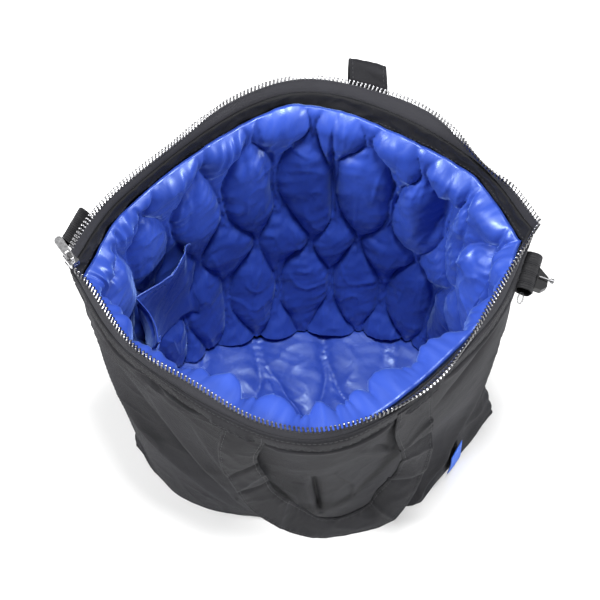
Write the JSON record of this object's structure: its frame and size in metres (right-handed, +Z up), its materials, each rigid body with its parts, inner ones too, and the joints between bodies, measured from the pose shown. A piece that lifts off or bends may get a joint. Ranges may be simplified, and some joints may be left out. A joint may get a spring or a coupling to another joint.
{
  "type": "motorcycle helmet bag",
  "caption": "Open-topped padded fabric tote for carrying a motorcycle helmet, with a zipped mouth, quilted lining, two strap handles and side loops.",
  "frame": {"origin": "middle of the bag's plan box, at the underside of the base where it rests on the floor", "axes": "+X along the zipped mouth towards the right side seam, +Y towards the back panel, +Z up out of the mouth"},
  "size_m": [0.4104, 0.3556, 0.3452],
  "materials": {
    "twill": "matt charcoal polyester twill",
    "zip_tape": "matt dark grey woven zip tape",
    "teeth": "gunmetal",
    "lining": "shiny royal blue quilted satin",
    "handle_cloth": "matt charcoal polyester twill, doubled",
    "webbing": "matt black ribbed webbing",
    "slider_metal": "bright nickel",
    "hook_plastic": "black moulded plastic",
    "wire_metal": "dull grey metal",
    "label_cloth": "smooth woven blue label"
  },
  "bodies": {
    "bag": {"front_panel": "twill", "back_panel": "twill", "base_panel": "twill", "front_band": "twill", "back_band": "twill", "mouth_facing": "twill", "front_zip_tape": "zip_tape", "back_zip_tape": "zip_tape", "front_teeth": "teeth", "back_teeth": "teeth", "lining_front": "lining", "lining_back": "lining", "lining_base": "lining", "inner_pocket": "lining", "front_handle": "handle_cloth", "back_handle": "handle_cloth", "right_loop": "webbing", "left_loop": "webbing", "slider_body": "slider_metal", "side_hook": "hook_plastic", "hook_pin": "wire_metal", "loop_link": "wire_metal", "side_label": "label_cloth"},
    "pull": {"pull_tab": "slider_metal"}
  },
  "joints": [
    {"name": "pull_hinge", "type": "hinge", "parent": "bag", "child": "pull", "pos_m": [-0.19269, -0.0093, 0.3333], "axis": [0.8, 0.6, 0], "range_deg": [-30, 100]}
  ]
}
